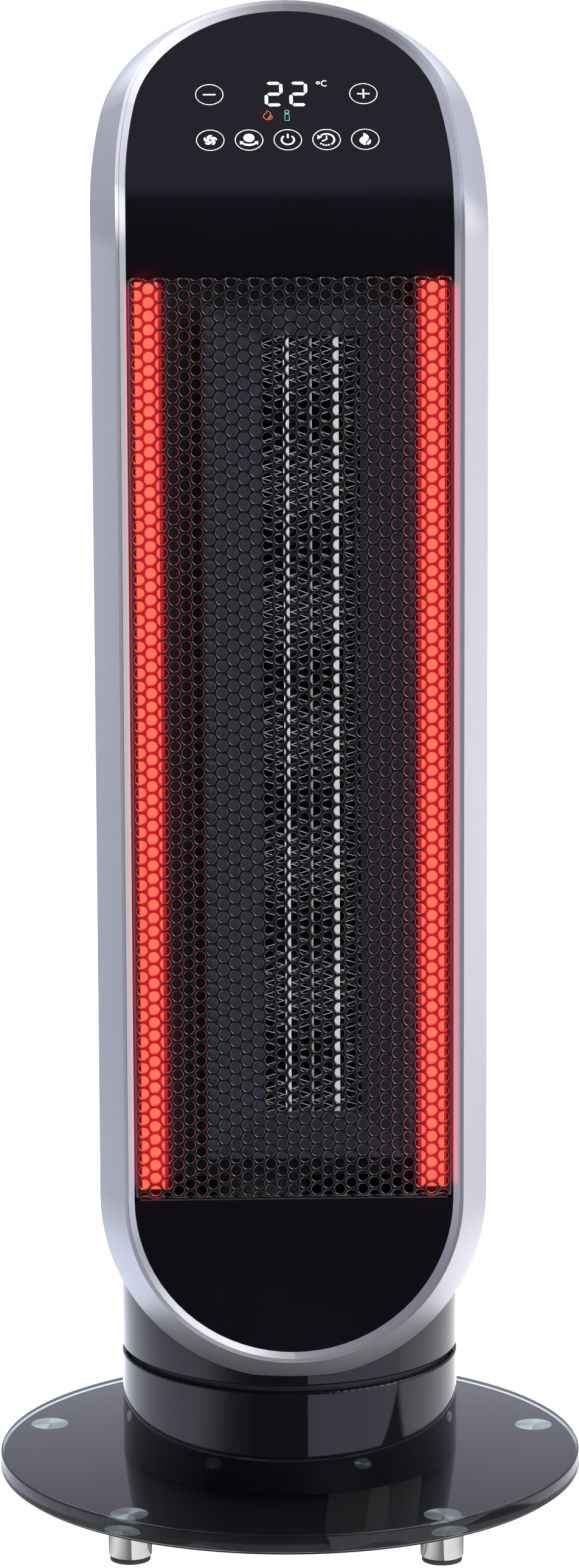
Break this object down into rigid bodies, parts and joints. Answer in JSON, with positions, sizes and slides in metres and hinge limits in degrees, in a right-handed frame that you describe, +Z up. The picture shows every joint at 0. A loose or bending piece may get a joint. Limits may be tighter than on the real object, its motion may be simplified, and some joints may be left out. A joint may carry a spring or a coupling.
{
  "type": "ceramic fan heater",
  "caption": "Swinging ceramic tower heater: silver-framed perforated outlet with side lights, leaning touch panel, round black neck and a glass disc base on short feet.",
  "frame": {"origin": "on the floor under the tower's turning axis, at the centre of the glass plate", "axes": "+Z up, -Y the front with the outlet, +X to the right seen from the front"},
  "size_m": [0.25, 0.25, 0.6418],
  "materials": {
    "rubber": "matt",
    "chrome": "polished",
    "turned_metal": "turned",
    "dark_sheet": "matt",
    "clear_glass": "polished",
    "steel": "brushed",
    "ballast": "painted",
    "black_gloss": "gloss",
    "black_satin": "satin",
    "black_metal": "satin",
    "dark_plastic": "matt",
    "white_plastic": "matt",
    "motor": "satin",
    "bronze": "machined",
    "silver": "satin metallic",
    "filter": "matt",
    "display": "gloss",
    "foam": "matt",
    "board": "satin",
    "board_white": "satin",
    "duct_metal": "plain",
    "duct_coat": "satin",
    "aluminium": "plain",
    "holder": "matt",
    "relay": "satin",
    "red_light": "frosted"
  },
  "bodies": {
    "base": {"foot_pads": "rubber", "feet": "chrome", "foot_discs": "turned_metal", "plate_backing": "dark_sheet", "glass_plate": "clear_glass", "clamp_plate": "steel", "base_screws": "steel", "base_floor": "ballast", "ring_screws": "steel", "base_ring": "black_gloss", "cord_gland": "rubber", "terminal_block": "white_plastic", "turntable_ring": "dark_plastic", "pivot_tube": "steel", "retaining_ring": "steel", "oscillation_gear": "white_plastic"},
    "tower": {"oscillation_motor": "motor", "neck": "black_gloss", "pivot_bushing": "bronze", "neck_screws": "steel", "front_frame": "silver", "frame_screws": "steel", "rear_housing": "black_satin", "intake_grille": "black_satin", "dust_filter": "filter", "lower_panel": "black_gloss", "control_panel": "black_gloss", "grille": "black_metal", "display_module": "display", "touch_pads": "foam", "display_board": "board", "display_screws": "steel", "chassis": "dark_plastic", "outlet_duct": "duct_coat", "thermal_cutout": "white_plastic", "ptc_bars": "aluminium", "ptc_plates": "aluminium", "ptc_fins": "aluminium", "ptc_holders": "holder", "fan_endplates": "duct_metal", "fan_scroll": "duct_metal", "fan_tongue": "duct_metal", "fan_motor": "motor", "fan_bearing": "rubber", "power_board": "board", "relays": "relay", "tilt_switch": "white_plastic", "light_guides": "red_light", "led_strips": "board_white", "light_channels": "duct_metal"},
    "fan_rotor": {"impeller": "aluminium", "fan_shaft": "steel"},
    "swing_pinion": {"oscillation_pinion": "white_plastic"}
  },
  "joints": [
    {"name": "tower_swing", "type": "hinge", "parent": "base", "child": "tower", "pos_m": [0, 0, 0.078], "axis": [0, 0, 1], "range_deg": [-35, 35]},
    {"name": "fan_spin", "type": "hinge", "parent": "tower", "child": "fan_rotor", "pos_m": [-0.014, 0.012, 0.3465], "axis": [0, 0, 1], "continuous": true},
    {"name": "pinion_roll", "type": "hinge", "parent": "tower", "child": "swing_pinion", "pos_m": [0, 0.03512, 0.09], "axis": [0, 0, 1], "range_deg": [-88, 88]}
  ],
  "couplings": [
    {"joint": "pinion_roll", "follows": "tower_swing", "ratio": 2.5}
  ]
}
